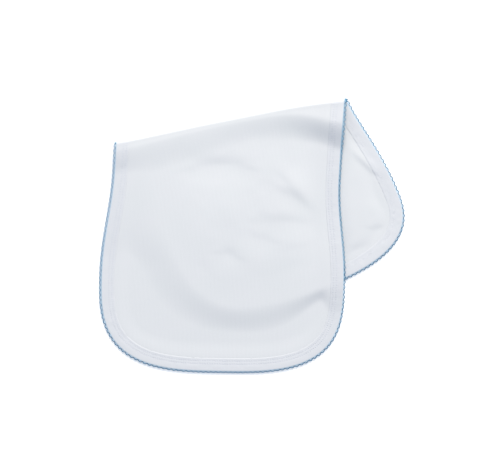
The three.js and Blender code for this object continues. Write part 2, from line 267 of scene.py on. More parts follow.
# How closely things are worked out, and the least differences that count
STRETCH_POINTS = 1500
EDGE_POINT_STEP = 24
DISTANCE_STEP = 2.0
DISTANCE_MARGIN = 60.0
NORMAL_REACH = 0.25
CUT_PLACE_ROUNDS = 4
SAME_PLACE = 1e-6
NO_LENGTH_SQUARED = 1e-9
STEEP_PATH = 0.8

# The floor and the window, with lengths in metres
FLOOR_SIZE = 6.0
FLOOR_BELOW = 0.0002
FLOOR_GLOW = 0.3
WINDOW_DISTANCE = 3.4
WINDOW_HEIGHT = math.radians(32.0)
WINDOW_TURN = math.radians(10.0)
WINDOW_SIZE = 1.5
WINDOW_ENERGY = 128.5
WINDOW_COLOR = (1.0, 0.93, 0.83)
ROOM_STRENGTH = 0.66

# The camera's view, in millimetres of the floor, and its lens
PICTURE_MIDDLE = np.array([-5.8, 13.1])
PICTURE_WIDTH = 537.4
LENS = 150.0
SENSOR_WIDTH = 36.0

# The knit. A real rib is under 1 mm wide, and it is drawn 1.4 mm wide so that it shows. Its sway and
# height are in metres.
RIB_PITCH = 1.4
COURSE_SHARE = 0.8
COURSES_SHOW = 0.35
RIB_SWAY = (0.0012, 0.0012, 0.0)
RIB_HEIGHT = 0.0002
RIB_STRENGTH = 0.2

# A mix node's colour inputs and output by number, because their names repeat
COLOR_A, COLOR_B, MIXED_COLOR = 6, 7, 2

FOLD_ALONG = np.array([math.cos(FOLD_TILT), math.sin(FOLD_TILT)])
FOLD_DOWN = np.array([math.sin(FOLD_TILT), -math.cos(FOLD_TILT)])


def lerp(a, b, share):
    return a + (b - a) * share


def ease(value, start, end):
    share = np.clip((value - start) / (end - start), 0.0, 1.0)
    return share * share * (3.0 - 2.0 * share)


def between_corners(values, cell, share):
    """The values between the corners of a square grid that repeats beyond its sides."""
    (i, j), (s, t) = np.moveaxis(cell, -1, 0), np.moveaxis(share, -1, 0)
    count = len(values)
    near = lerp(values[i % count, j % count], values[(i + 1) % count, j % count], s)
    far = lerp(values[i % count, (j + 1) % count], values[(i + 1) % count, (j + 1) % count], s)
    return lerp(near, far, t)


def rumple(places, size, seed):
    """Smooth seeded noise over the places, from -1 to 1, with lumps of the given size."""
    lattice = np.random.default_rng(seed).uniform(-1.0, 1.0, (RUMPLE_CELLS, RUMPLE_CELLS))
    cell = np.floor(places / size).astype(int)
    share = places / size - cell
    return between_corners(lattice, cell, share * share * (3.0 - 2.0 * share))


def walked_lengths(points):
    """How far along a line each of its points is."""
    steps = np.linalg.norm(np.diff(points, axis=0), axis=1)
    return np.concatenate([[0.0], np.cumsum(steps)])


# The flat cut. u runs along the cloth from the waist to the front end, and v across it.

def straight_reach(end, hand):
    """How far a side runs before it rounds into the end. The hand is 1 at the right, -1 at the left."""
    return end.reach - (end.rounding if hand > 0 else end.left_rounding)


def side_width(end, along, hand):
    flare = np.clip((along - FLARE_START) / (straight_reach(end, hand) - FLARE_START), 0.0, 1.0)
    return lerp(WAIST_HALF_WIDTH, end.half_width, (1.0 - np.cos(math.pi * flare)) / 2.0)


def rounded_end(end, angle, hand):
    outward = np.sin(angle) ** (2.0 / end.squareness)
    across = hand * np.clip(np.cos(angle), 0.0, 1.0) ** (2.0 / end.squareness)
    straight = straight_reach(end, hand)
    along = straight + (end.reach - straight + end.slant * across) * outward
    return np.stack([end.side * along, end.half_width * across], -1)


def centre_line(from_fold):
    """The centre line's place and heading, in axes that point right and away from the front end."""
    turn = np.where(from_fold > 0.0, FRONT_TURN_PER_MM, BACK_TURN_PER_MM)
    bent = np.maximum(np.abs(from_fold) - STRAIGHT_RUN, 0.0)
    straight = np.minimum(np.abs(from_fold), STRAIGHT_RUN)
    heading = CENTRE_LEAN - turn * bent
    x = -math.sin(CENTRE_LEAN) * straight - (np.cos(heading) - math.cos(CENTRE_LEAN)) / turn
    y = -math.cos(CENTRE_LEAN) * straight - (math.sin(CENTRE_LEAN) - np.sin(heading)) / turn
    return np.stack([x, y], -1) * np.sign(from_fold)[..., None], heading


def spread_out(cut):
    """From the flat cut to the cloth spread out before it is folded: x along the fold, y to the front."""
    place, heading = centre_line(cut[..., 0] + FOLD_BEHIND_WAIST)
    across = np.stack([np.cos(heading), -np.sin(heading)], -1)
    place = place + across * cut[..., 1:2]
    return np.stack([place @ FOLD_ALONG, place @ FOLD_DOWN], -1)


def cut_place(flat):
    """From the spread-out cloth back to the flat cut, so that the knit follows the grain."""
    page = flat[..., :1] * FOLD_ALONG + flat[..., 1:] * FOLD_DOWN
    along = -page[..., 1]
    across = page[..., 0]
    for _ in range(CUT_PLACE_ROUNDS):
        centre, heading = centre_line(along)
        miss = page - centre
        along = along - miss[..., 0] * np.sin(heading) - miss[..., 1] * np.cos(heading)
        across = miss[..., 0] * np.cos(heading) - miss[..., 1] * np.sin(heading)
    return np.stack([along - FOLD_BEHIND_WAIST, across], -1)


class Stretch:
    """One stretch of the cloth's edge, walked by its length."""

    def __init__(self, cut):
        self.points = spread_out(cut)
        self.walked = walked_lengths(self.points)
        self.length = self.walked[-1]

    def at(self, walked):
        return np.stack([np.interp(walked, self.walked, self.points[:, k]) for k in (0, 1)], -1)

    def where_row_crosses(self, rows):
        return np.interp(rows, self.points[:, 1], self.walked)

    def stations(self, walked, turn):
        """Places on the edge, each with the way one millimetre in from it."""
        reach = self.length / STRETCH_POINTS
        before, after = np.maximum(walked - reach, 0.0), np.minimum(walked + reach, self.length)
        tangent = self.at(after) - self.at(before)
        tangent /= np.linalg.norm(tangent, axis=1)[:, None]
        normal = np.stack([tangent[:, 1], -tangent[:, 0]], -1) * turn
        point = self.at(walked)
        turned = ease(np.abs(point[:, 1]), PARALLEL_ROWS_UNTIL, EDGE_TURNS_BY)[:, None]
        inward = lerp(np.stack([np.sign(normal[:, 0]), 0.0 * walked], -1), normal, turned)
        inward /= np.sum(inward * normal, axis=1)[:, None]
        return np.concatenate([point, inward], axis=1)


def long_side(hand):
    angles = np.linspace(0.0, CORNER_ANGLE, STRETCH_POINTS)
    along = np.linspace(-straight_reach(BACK, hand), straight_reach(FRONT, hand), STRETCH_POINTS)
    width = np.where(along < 0.0, side_width(BACK, -along, hand), side_width(FRONT, along, hand))
    straight = np.stack([along, hand * width], -1)[1:-1]
    back_corner = rounded_end(BACK, angles[::-1], hand)
    front_corner = rounded_end(FRONT, angles, hand)
    return Stretch(np.concatenate([back_corner, straight, front_corner]))


def short_side(end):
    angles = np.linspace(CORNER_ANGLE, math.pi / 2, STRETCH_POINTS)
    left_half = rounded_end(end, angles, -1.0)
    right_half = rounded_end(end, angles, 1.0)[-2::-1]
    return Stretch(np.concatenate([left_half, right_half]))


LEFT_SIDE = long_side(-1.0)
RIGHT_SIDE = long_side(1.0)
FRONT_SIDE = short_side(FRONT)
BACK_SIDE = short_side(BACK)
WHOLE_EDGE = np.concatenate([
    LEFT_SIDE.points[::EDGE_POINT_STEP],
    FRONT_SIDE.points[::EDGE_POINT_STEP],
    RIGHT_SIDE.points[::-EDGE_POINT_STEP],
    BACK_SIDE.points[::-EDGE_POINT_STEP],
])


def edge_distances(points):
    """Distances in from the cloth's edge, negative outside it."""
    start, end = WHOLE_EDGE, np.roll(WHOLE_EDGE, -1, axis=0)
    run = end - start
    nearest = np.full(len(points), np.inf)
    crossings = np.zeros(len(points), int)
    for a, b, d in zip(start, end, run):
        length = d @ d
        if length < NO_LENGTH_SQUARED:
            continue
        reach = points - a
        share = np.clip(reach @ d / length, 0.0, 1.0)
        nearest = np.minimum(nearest, np.linalg.norm(reach - share[:, None] * d, axis=1))
        if a[1] != b[1]:
            beside = points[:, 0] < a[0] + (points[:, 1] - a[1]) / d[1] * d[0]
            crossings += ((a[1] > points[:, 1]) != (b[1] > points[:, 1])) & beside
    return np.where(crossings % 2 == 1, nearest, -nearest)


class DistanceMap:
    """The distance in from the edge, kept on a square grid so that it is worked out once."""

    def __init__(self):
        reach = np.abs(WHOLE_EDGE).max() + DISTANCE_MARGIN
        self.line = np.arange(-reach, reach, DISTANCE_STEP)
        x, y = np.meshgrid(self.line, self.line, indexing="ij")
        flat = np.stack([x.ravel(), y.ravel()], -1)
        self.values = edge_distances(flat).reshape(x.shape)

    def at(self, flat):
        place = (flat - self.line[0]) / DISTANCE_STEP
        cell = np.clip(np.floor(place).astype(int), 0, len(self.line) - 2)
        return between_corners(self.values, cell, place - cell)


INSIDE = DistanceMap()


# How the cloth lies

def along_fold(table, x):
    """The values of a table at places along the fold, with its corners rounded off."""
    along, *columns = np.transpose(table)
    nearby = (x - CORNER_SOFTENED, x, x + CORNER_SOFTENED)
    return [sum(np.interp(at, along, values) for at in nearby) / len(nearby) for values in columns]


def crease_height(layer, places):
    """The height that the creases of one layer add at places seen from above."""
    height = np.zeros(places.shape[:-1])
    for crease in CREASES:
        if crease.layer != layer:
            continue
        start, via, end = (np.array(p, float) for p in (crease.start, crease.via, crease.end))
        pull = 2.0 * via - (start + end) / 2.0
        gentle = crease.width * CREASE_SPREAD
        above, below = (crease.width, gentle) if crease.height < 0.0 else (gentle, crease.width)
        share = np.zeros(height.shape)
        for t in np.linspace(0.0, 1.0, CREASE_STEPS)[1:-1]:
            point = (1.0 - t) ** 2 * start + 2.0 * t * (1.0 - t) * pull + t * t * end
            ahead = (1.0 - t) * (pull - start) + t * (end - pull)
            reach = places - point
            beside = (ahead[0] * reach[..., 1] - ahead[1] * reach[..., 0]) / np.linalg.norm(ahead)
            width = lerp(below, above, ease(beside, -crease.width / 2, crease.width / 2))
            apart = np.sum(reach ** 2, axis=-1) / width ** 2
            share = np.maximum(share, math.sin(math.pi * t) ** CREASE_ENDS_FADE * np.exp(-apart))
        height += crease.height * share
    return height


def support_height(inside_lower, inside_upper, x, from_middle):
    """The height of what the upper layer lies on: the floor, or the lower layer and its binding."""
    top, drop = along_fold(EDGE_DROPS, x)
    drop = drop + NEAR_FOLD_GENTLER * (1.0 - ease(from_middle, *NEAR_FOLD))
    drop = drop + BINDING_BRIDGES * (1.0 - ease(inside_upper, *BRIDGED))
    over_binding = 2.0 * BINDING_HALF + LAYER_GAP
    over_panel = PANEL_THICKNESS + LAYER_GAP
    climbed = over_binding * ease(inside_lower, top - drop, top)
    return climbed - (over_binding - over_panel) * ease(inside_lower, *BEHIND_EDGE)


def lay_down(flat):
    """The middle of the cloth's thickness at places of the spread-out cloth."""
    x, y = flat[..., 0], flat[..., 1]
    from_middle = np.abs(y)
    inside_upper = INSIDE.at(np.stack([x, from_middle], -1))
    inside_lower = INSIDE.at(np.stack([x, -from_middle], -1))

    radius = lerp(ROLL_LEFT, ROLL_RIGHT, ease(x, *ROLL_GROWS))
    quarter_roll = radius * math.pi / 2
    beyond_roll = from_middle - quarter_roll
    angle = np.clip((y + quarter_roll) / radius, 0.0, math.pi)
    from_fold = np.where(beyond_roll < 0.0, radius * (1.0 - np.sin(angle)), radius + beyond_roll)
    nearer = along_fold(FOLD_BENDS, x)[0]
    from_fold = from_fold + nearer * (1.0 - ease(from_middle, 0.0, BEND_FADES_BY))
    place = FOLD_MIDDLE + x[..., None] * FOLD_ALONG + from_fold[..., None] * FOLD_DOWN

    ripple = sum(height * rumple(place, size, int(size)) for height, size in RUMPLE)
    lower_rise = (LOWER_LOFT + ripple) * ease(inside_lower, *LOWER_HELD)
    lower_rise = np.maximum(lower_rise + crease_height("lower", place), 0.0)
    lower_rise = lower_rise * ease(beyond_roll, *LOWER_LOFT_RISES)
    lower_rise = lower_rise * (1.0 - ease(inside_upper, *LOWER_PRESSED))
    loft = lerp(LOFT_NEAR_FOLD, LOFT_FULL, ease(from_middle, *LOFT_RISES)) - lower_rise
    upper_rise = np.maximum(loft + crease_height("upper", place) + ripple, 0.0)
    upper_rise = upper_rise * ease(inside_upper, *UPPER_HELD) * ease(inside_lower, *BEHIND_EDGE)
    support = support_height(inside_lower, inside_upper, x, from_middle)
    upper_rest = support + lower_rise + upper_rise

    puffed, start, end = along_fold(FOLDS, x)
    rolled = radius * puffed * (1.0 - np.cos(angle))
    crest = rolled + (CREST_RISE + CREST_RISE_PER_MM * start) * ease(beyond_roll, 0.0, start + 1.0)
    settled = ease(from_fold, start, end)
    height = np.where(y > 0.0, lerp(crest, upper_rest, settled), rolled + lower_rise)
    return np.concatenate([place, height[..., None] + PANEL_THICKNESS / 2], axis=-1)


# Rows and columns of the spread-out cloth

def parallel_rows():
    quarter_roll = ROLL_RIGHT * math.pi / 2
    rows = [quarter_roll * (i + 1) / ROLL_STEPS for i in range(ROLL_STEPS)]
    step = FIRST_ROW_STEP
    while rows[-1] + step < PARALLEL_ROWS_UNTIL:
        rows.append(rows[-1] + step)
        step = min(step * ROW_GROWTH, GRID_ROW_STEP)
    return np.array([-row for row in reversed(rows)] + [0.0] + rows)


FOLD_ROWS = parallel_rows()
RIGHT_CROSSED = RIGHT_SIDE.where_row_crosses(FOLD_ROWS)
ROWS_BEHIND = round(RIGHT_CROSSED[0] / GRID_ROW_STEP)
ROWS_AHEAD = round((RIGHT_SIDE.length - RIGHT_CROSSED[-1]) / GRID_ROW_STEP)


def side_stations(side, turn):
    crossed = side.where_row_crosses(FOLD_ROWS)
    behind = np.linspace(0.0, crossed[0], ROWS_BEHIND + 1)[:-1]
    ahead = np.linspace(crossed[-1], side.length, ROWS_AHEAD + 1)[1:]
    return side.stations(np.concatenate([behind, crossed, ahead]), turn)


def end_stations(side, turn):
    return side.stations(np.linspace(0.0, side.length, GRID_COLUMNS + 1), turn)


def inset_points(stations, inset):
    return stations[..., :2] + stations[..., 2:] * inset


def cloth_grid(left, right, front, back, inset):
    """The flat places inside the binding. The rounded ends shape the rows outside the fold's own."""
    across = np.linspace(0.0, 1.0, GRID_COLUMNS + 1)[:, None]
    left, right, front, back = (inset_points(line, inset) for line in (left, right, front, back))
    points = left[:, None] + (right - left)[:, None] * across
    rows = len(left) - 1
    row = np.arange(rows + 1)[:, None, None]
    near_front = np.maximum((row - rows + ROWS_AHEAD) / ROWS_AHEAD, 0.0)
    near_back = np.maximum((ROWS_BEHIND - row) / ROWS_BEHIND, 0.0)
    for line, near in ((front, near_front), (back, near_back)):
        bulge = line - lerp(line[0], line[-1], across)
        points = points + bulge * near ** 2
    return points


def right_side_normal(flat):
    """The way the cloth's right side faces, from how the laid cloth changes close round each place."""
    along = lay_down(flat + (NORMAL_REACH, 0.0)) - lay_down(flat - (NORMAL_REACH, 0.0))
    down = lay_down(flat + (0.0, NORMAL_REACH)) - lay_down(flat - (0.0, NORMAL_REACH))
    normal = np.cross(down, along)
    return normal / np.linalg.norm(normal, axis=-1, keepdims=True)


# Everything laid in millimetres is moved so that its edge meets the frame's binding.
laid_edge = lay_down(WHOLE_EDGE)
frame_low = np.array(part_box("binding")[0]) / MM
TO_FRAME = np.array([*(frame_low[:2] - laid_edge.min(axis=0)[:2]), 0.0])


# Meshes

def add_mesh(name, points, faces, material):
    """A smooth-shaded piece from its points in millimetres and its faces' point numbers."""
    mesh = bpy.data.meshes.new(name)
    mesh.from_pydata(((points + TO_FRAME) * MM).tolist(), [], faces)
    mesh.polygons.foreach_set("use_smooth", [True] * len(mesh.polygons))
    mesh.materials.append(material)
    mesh.update()
    piece = bpy.data.objects.new(name, mesh)
    bpy.context.scene.collection.objects.link(piece)
    return piece


def add_grain(piece, places):
    """A map over the cloth, across and along its grain, that the knit follows."""
    layer = piece.data.uv_layers.new(name="grain")
    corners = np.empty(len(piece.data.loops), int)
    piece.data.loops.foreach_get("vertex_index", corners)
    layer.data.foreach_set("uv", (places[corners] * MM).ravel())


def add_tone(piece, name, values):
    """A value from 0 to 1 at each point, which the material reads by its name."""
    layer = piece.data.attributes.new(name, "FLOAT", "POINT")
    layer.data.foreach_set("value", np.asarray(values, float).ravel())


def band_faces(first, second):
    """Quads between two closed lines of point numbers that run side by side."""
    return np.stack([first, np.roll(first, -1), np.roll(second, -1), second], -1)


def add_panel(material):
    left, right = side_stations(LEFT_SIDE, 1.0), side_stations(RIGHT_SIDE, -1.0)
    front, back = end_stations(FRONT_SIDE, 1.0), end_stations(BACK_SIDE, -1.0)
    rows = len(left) - 1
    ring = np.concatenate([left[:-1], front[:-1], right[:0:-1], back[:0:-1]])
    grid = cloth_grid(left, right, front, back, PANEL_INSETS[-1])
    numbers = np.arange((rows + 1) * (GRID_COLUMNS + 1)).reshape(rows + 1, GRID_COLUMNS + 1)
    rim = np.concatenate([
        numbers[:-1, 0],
        numbers[-1, :-1],
        numbers[:0:-1, -1],
        numbers[0, :0:-1],
    ])
    quads = np.stack([numbers[:-1, :-1], numbers[1:, :-1], numbers[1:, 1:], numbers[:-1, 1:]], -1)
    flat = [grid.reshape(-1, 2)]
    lift = [np.zeros(numbers.size)]
    faces = [quads.reshape(-1, 4)]
    inner = rim
    start = numbers.size
    for inset in reversed(PANEL_INSETS[:-1]):
        outer = start + np.arange(len(ring))
        flat.append(inset_points(ring, inset))
        lift.append(np.full(len(ring), BINDING_LIFT * (1.0 - ease(inset, *LIFT_FADES))))
        faces.append(band_faces(outer, inner))
        inner = outer
        start += len(ring)
    flat = np.concatenate(flat)
    points = lay_down(flat)
    points[:, 2] += np.concatenate(lift)
    panel = add_mesh("cotton_panel", points, np.concatenate(faces).tolist(), material)
    add_grain(panel, cut_place(flat)[:, ::-1])
    thickness = panel.modifiers.new("cloth thickness", "SOLIDIFY")
    thickness.thickness = PANEL_THICKNESS * MM
    thickness.offset = 0.0
    return panel


# The bound edge

def edge_stations(side, turn):
    """Stations about a millimetre apart along one side of the cloth."""
    return side.stations(np.linspace(0.0, side.length, int(side.length)), turn)


class BoundEdge:
    """The bound edge walked all the way round: down the left, along the front, up the right and back."""

    def __init__(self):
        fine = np.concatenate([
            edge_stations(LEFT_SIDE, 1.0),
            edge_stations(FRONT_SIDE, 1.0),
            edge_stations(RIGHT_SIDE, -1.0)[::-1],
            edge_stations(BACK_SIDE, -1.0)[::-1],
        ])
        gaps = np.linalg.norm(np.diff(fine[:, :2], axis=0), axis=1)
        fine = fine[np.concatenate([[True], gaps > SAME_PLACE])]
        self.closed = np.concatenate([fine, fine[:1]])
        self.walked = walked_lengths(self.closed[:, :2])
        self.length = self.walked[-1]

    def stations(self, walked):
        walked = walked % self.length
        return np.stack([np.interp(walked, self.walked, self.closed[:, k]) for k in range(4)], -1)

    def flat_place(self, walked):
        """Where the edge is on the spread-out cloth, as x along the fold and y to the front."""
        return np.moveaxis(self.stations(walked)[..., :2], -1, 0)

    def place(self, walked, inset, offset):
        """A place at the bound edge: so far round, so far in, and so far off the cloth's middle."""
        stations = self.stations(walked)
        flat = stations[..., :2] + stations[..., 2:] * inset[..., None]
        point = lay_down(flat)
        point[..., 2] += BINDING_LIFT
        return point + right_side_normal(flat) * offset[..., None]


EDGE = BoundEdge()
STITCHES = round(EDGE.length / STITCH_PITCH)
SCALLOPS = round(EDGE.length / SCALLOP_PITCH)


def binding_surface(inset):
    """How far the binding's outside stands off the cloth's middle."""
    return lerp(BINDING_BODY, BINDING_THINS_TO, ease(inset, BINDING_THINS_FROM, BINDING_WIDTH))


def binding_section():
    """Insets and offsets round the folded strip, and 1 on its outside and 0 in its hollow."""
    across = [BINDING_WIDTH, *LIP_INSETS]
    for row in reversed(NEEDLE_ROWS):
        across += [row + step for step in ROW_STEPS]
    across += BODY_INSETS
    outer = [(inset, binding_surface(inset)) for inset in across]
    outer[0] = (BINDING_WIDTH, BINDING_THINS_TO - LIP_STEP)
    fold = [math.radians(angle) for angle in NOSE_ANGLES]
    nose = [(BINDING_ROUND * (1 - math.cos(a)), BINDING_BODY * math.sin(a)) for a in fold]
    under = [(inset, -offset) for inset, offset in reversed(outer)]
    at_edge, by_edge = BELOW_HOLLOW
    under[-2:] = [(LIP_INSETS[0], -CAVITY_HALF - by_edge), (BINDING_WIDTH, -CAVITY_HALF - at_edge)]
    hollow = [(inset, -CAVITY_HALF) for inset in (BINDING_WIDTH, CAVITY_MIDDLE, CAVITY_DEPTH)]
    hollow += [(inset, -offset) for inset, offset in reversed(hollow)]
    section = np.array(outer + nose + under + hollow)
    outside = np.array([1.0] * len(outer + nose + under) + [0.0] * len(hollow))
    return section[:, 0], section[:, 1], outside


def paired(first, second):
    """Two arrays, spread to the same shape, as the coordinates of places."""
    return np.stack(np.broadcast_arrays(first, second), -1)


def add_binding(material):
    inset, offset, outside = binding_section()
    right_side = offset > 0.0
    count = STITCHES * STATIONS_PER_STITCH
    walked = np.arange(count) * EDGE.length / count
    at_hole = (np.arange(count)[:, None] % STATIONS_PER_STITCH == 0) & right_side
    groove = np.zeros((count, len(inset)))
    hole = np.zeros((count, len(inset)))
    for row in NEEDLE_ROWS:
        groove += ROW_GROOVE * np.exp(-(((inset - row) / ROW_WIDTH) ** 2))
        hole += at_hole * np.exp(-(((inset - row) / HOLE_WIDTH) ** 2))
    pucker_places = paired(walked[:, None], inset + PUCKER_SIDES_APART * right_side)
    pucker = PUCKER * rumple(pucker_places, PUCKER_SIZE, PUCKER_SEED) * ease(inset, *PUCKER_FADES_IN)
    raised = offset + np.sign(offset) * outside * (pucker - groove - HOLE_DEPTH * hole)
    lines = [EDGE.place(walked, np.full(count, inset[k]), raised[:, k]) for k in range(len(inset))]
    points = np.stack(lines, 1)
    numbers = np.arange(points[..., 0].size).reshape(count, -1)
    right, below = np.roll(numbers, -1, axis=1), np.roll(numbers, -1, axis=0)
    faces = np.stack([numbers, right, np.roll(right, -1, axis=0), below], -1).reshape(-1, 4)
    binding = add_mesh("folded_binding", points.reshape(-1, 3), faces.tolist(), material)
    grain = paired(walked[:, None], inset * np.where(right_side, 1.0, -1.0))
    add_grain(binding, grain.reshape(-1, 2))
    # How much painted shade each needle hole gets, which darkens the binding's colour there
    add_tone(binding, "needle_hole_shade", hole * outside)
    return binding


def thread_tubes(paths, radius, sides, closed):
    """Round tubes along paths of points (paths, points, 3), as one list of points and one of faces."""
    ahead, behind = np.roll(paths, -1, axis=1), np.roll(paths, 1, axis=1)
    if not closed:
        ahead[:, -1], behind[:, 0] = paths[:, -1], paths[:, 0]
    tangent = ahead - behind
    tangent /= np.linalg.norm(tangent, axis=-1, keepdims=True)
    guide = np.where(np.abs(tangent[..., 2:]) > STEEP_PATH, (0.0, 1.0, 0.0), (0.0, 0.0, 1.0))
    across = np.cross(tangent, guide)
    across /= np.linalg.norm(across, axis=-1, keepdims=True)
    upward = np.cross(across, tangent)
    turn = np.arange(sides) * 2.0 * math.pi / sides
    around = across[:, :, None] * np.cos(turn)[:, None] + upward[:, :, None] * np.sin(turn)[:, None]
    points = paths[:, :, None] + around * radius
    numbers = np.arange(points[..., 0].size).reshape(points.shape[:3])
    beside = np.roll(numbers, -1, axis=2)
    beyond, beyond_beside = np.roll(numbers, -1, axis=1), np.roll(beside, -1, axis=1)
    quads = np.stack([numbers, beside, beyond_beside, beyond], -1)
    if closed:
        return points.reshape(-1, 3), quads.reshape(-1, 4).tolist()
    caps = [tuple(reversed(end)) for end in numbers[:, 0].tolist()] + numbers[:, -1].tolist()
    return points.reshape(-1, 3), quads[:, :-1].reshape(-1, 4).tolist() + caps


def add_threads(name, bundles, material):
    """One piece from several lots of tubes."""
    faces = []
    start = 0
    for points, bundle_faces in bundles:
        faces += [[corner + start for corner in face] for face in bundle_faces]
        start += len(points)
    return add_mesh(name, np.concatenate([points for points, _ in bundles]), faces, material)


def add_coverstitch(material):
    """Two rows of needle stitches on the right side and the looper's zigzag on the wrong side."""
    bundles = []
    stitch = np.arange(STITCHES)[:, None]
    walked = (stitch + NEEDLE_SHARES) * EDGE.length / STITCHES
    for row in NEEDLE_ROWS:
        height = binding_surface(row) + NEEDLE_HEIGHTS - ROW_GROOVE
        paths = EDGE.place(walked, np.full(walked.shape, row), np.broadcast_to(height, walked.shape))
        bundles.append(thread_tubes(paths, THREAD_RADIUS, THREAD_SIDES, closed=False))
    near, far = NEEDLE_ROWS
    for start, end, shift in ((near, far, 0.0), (far, near, 0.5)):
        walked = (stitch + shift + LOOPER_SHARES / 2.0) * EDGE.length / STITCHES
        inset = np.broadcast_to(lerp(start, end, LOOPER_SHARES), walked.shape)
        paths = EDGE.place(walked, inset, -(binding_surface(inset) + LOOPER_HEIGHTS))
        bundles.append(thread_tubes(paths, LOOPER_RADIUS, LOOPER_SIDES, closed=False))
    return add_threads("coverstitch_threads", bundles, material)


def scallop_bulge(walked):
    """0 where two scallops meet and 1 at the middle of each."""
    return np.abs(np.sin(math.pi * walked * SCALLOPS / EDGE.length)) ** SCALLOP_ROUNDNESS


def scallop_inset(walked):
    """How far in the trim's outer thread lies, which is negative because it lies outside the edge."""
    x, y = EDGE.flat_place(walked)
    at_front = ease(y, *FRONT_PRESSED)
    at_right = np.where(x > 0.0, ease(np.abs(y - RIGHT_LOOSE_AT), *RIGHT_PRESSED), 0.0)
    peak = lerp(SCALLOP_PEAK, PRESSED_SCALLOP_PEAK, np.maximum(at_front, at_right))
    return -lerp(SCALLOP_VALLEY, peak, scallop_bulge(walked))


def wrapped_over(walked):
    """1 along the front half's right side, where the wraps lie over the purl, and 0 elsewhere."""
    x, y = EDGE.flat_place(walked)
    return np.where(x > 0.0, ease(y, *WRAPPED_OVER), 0.0) * (1.0 - ease(y, *FRONT_PRESSED))


def add_picot_purl(material):
    """The dark outer thread of the trim: two plies that twist round each other over every scallop
    and bite the bound edge between them where two scallops meet."""
    bundles = []
    count = SCALLOPS * PURL_POINTS_PER_SCALLOP
    walked = np.arange(count) * EDGE.length / count
    turn = 2.0 * math.pi * walked * SCALLOPS * PURL_TWIST / EDGE.length
    bite = PURL_STRADDLES * (1.0 - scallop_bulge(walked)) ** 2
    for ply, side in ((0.0, 1.0), (math.pi, -1.0)):
        inset = scallop_inset(walked) + PURL_PLY_OFFSET * np.cos(turn + ply)
        path = EDGE.place(walked, inset, PURL_PLY_OFFSET * np.sin(turn + ply) + side * bite)
        bundles.append(thread_tubes(path[None], PURL_PLY_RADIUS, PURL_SIDES, closed=True))
    return add_threads("picot_purl", bundles, material)


def add_picot_wraps(material):
    """The pale threads that hold the purl, each over the bound edge and back beneath it."""
    count = SCALLOPS * WRAPS_PER_SCALLOP
    chance = np.random.default_rng(WRAP_SEED)
    centre = (np.arange(count)[:, None] + 0.5) * EDGE.length / count
    lean = chance.uniform(-WRAP_LEAN, WRAP_LEAN, (count, 1))
    start = WRAP_START + chance.uniform(*WRAP_START_VARIES, (count, 1))
    over = wrapped_over(centre)
    tip = scallop_inset(centre) + lerp(WRAP_TIP_BESIDE, WRAP_TIP_OVER, over)
    height = lerp(WRAP_HEIGHTS_BESIDE, WRAP_HEIGHTS_OVER, over)
    walked = centre + lean * (1.0 - WRAP_SHARES)
    paths = EDGE.place(walked, lerp(start, tip, WRAP_SHARES), height)
    tubes = thread_tubes(paths, WRAP_RADIUS, WRAP_SIDES, closed=False)
    return add_threads("picot_wraps", [tubes], material)


# Materials

def linear(code):
    """An sRGB hex colour as the linear colour that Blender works in."""
    channels = [int(code[i:i + 2], 16) / 255.0 for i in (1, 3, 5)]
    return (*(c / 12.92 if c <= 0.04045 else ((c + 0.055) / 1.055) ** 2.4 for c in channels), 1.0)


def new_material(name, color, roughness):
    material = bpy.data.materials.new(name)
    material.use_nodes = True
    shader = material.node_tree.nodes["Principled BSDF"]
    shader.inputs["Base Color"].default_value = linear(color)
    shader.inputs["Roughness"].default_value = roughness
    shader.inputs["Specular IOR Level"].default_value = 0.25
    return material, shader


def add_node(material, kind, settings=None, links=None):
    """One node with its settings, its own or its inputs', and inputs linked from other nodes."""
    tree = material.node_tree
    node = tree.nodes.new(kind)
    for key, value in (settings or {}).items():
        if isinstance(key, str) and hasattr(node, key):
            setattr(node, key, value)
        else:
            node.inputs[key].default_value = value
    for key, source in (links or {}).items():
        tree.links.new(source, node.inputs[key])
    return node


def noise(material, vector, scale, detail):
    settings = {"Scale": scale, "Detail": detail}
    return add_node(material, "ShaderNodeTexNoise", settings, {"Vector": vector}).outputs


def bands(material, direction, pitch, vector):
    """Even bands of a pitch in millimetres. A wave texture repeats every pi / 10 over its scale."""
    node = add_node(
        material,
        "ShaderNodeTexWave",
        {"wave_type": "BANDS", "bands_direction": direction, "Scale": math.pi / (10.0 * pitch * MM)},
        {"Vector": vector},
    )
    return node.outputs["Fac"]


def mixed_color(material, share, first, second):
    """Two colours mixed. Each is a colour or another node's output."""
    settings = {"data_type": "RGBA"}
    links = {0: share}
    for key, color in ((COLOR_A, first), (COLOR_B, second)):
        group = settings if isinstance(color, tuple) else links
        group[key] = color
    return add_node(material, "ShaderNodeMix", settings, links).outputs[MIXED_COLOR]


def knit(material, shader):
    """The ribs of a fine knit: upright columns, each a chain of little stitches, as height."""
    grain = add_node(material, "ShaderNodeUVMap", {"uv_map": "grain"}).outputs["UV"]
    sway = noise(material, grain, scale=90.0, detail=1.0)["Color"]
    moved = add_node(
        material,
        "ShaderNodeVectorMath",
        {"operation": "MULTIPLY_ADD", 1: RIB_SWAY},
        {0: sway, 2: grain},
    ).outputs[0]
    columns = bands(material, "X", RIB_PITCH, moved)
    courses = bands(material, "Y", RIB_PITCH * COURSE_SHARE, moved)
    loops = add_node(
        material,
        "ShaderNodeMath",
        {"operation": "MULTIPLY_ADD", 1: COURSES_SHOW},
        {0: courses, 2: columns},
    ).outputs[0]
    bump = add_node(
        material,
        "ShaderNodeBump",
        {"Strength": RIB_STRENGTH, "Distance": RIB_HEIGHT},
        {"Height": loops},
    )
    material.node_tree.links.new(bump.outputs["Normal"], shader.inputs["Normal"])
    return grain


